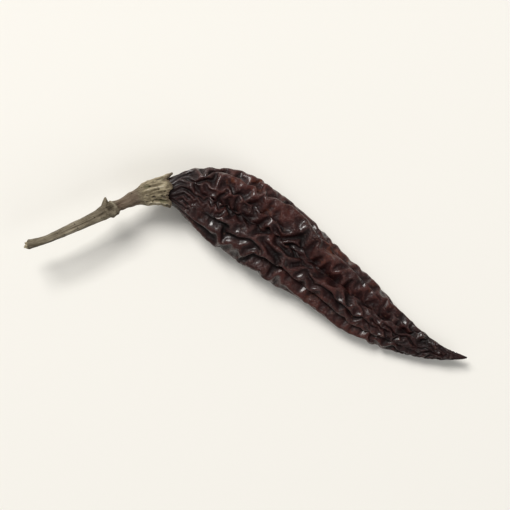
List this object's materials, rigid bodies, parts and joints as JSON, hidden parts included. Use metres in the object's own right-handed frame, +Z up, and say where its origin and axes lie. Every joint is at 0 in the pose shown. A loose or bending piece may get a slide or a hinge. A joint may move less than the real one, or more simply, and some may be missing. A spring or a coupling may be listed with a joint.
{
  "type": "dried red chilli pepper",
  "caption": "Whole dried red chilli lying on its side: a flattened, wrinkled, tapering pod with its calyx and stalk, for food scenes and cooking.",
  "frame": {"origin": "on the surface that the chilli lies on, under the middle of its box", "axes": "+X along its length, from the stalk's broken end towards the pod's tip; +Z up, away from the surface; +Y across it"},
  "size_m": [0.0984, 0.0344, 0.0098],
  "materials": {
    "pod_skin": "dark maroon dried skin, leathery and wrinkled, half gloss",
    "calyx": "dry olive tan, ribbed, matt",
    "stalk": "dry olive brown with fine lengthwise ribs, matt"
  },
  "bodies": {
    "root": {"pod": "pod_skin", "calyx": "calyx", "stalk": "stalk"}
  },
  "joints": []
}
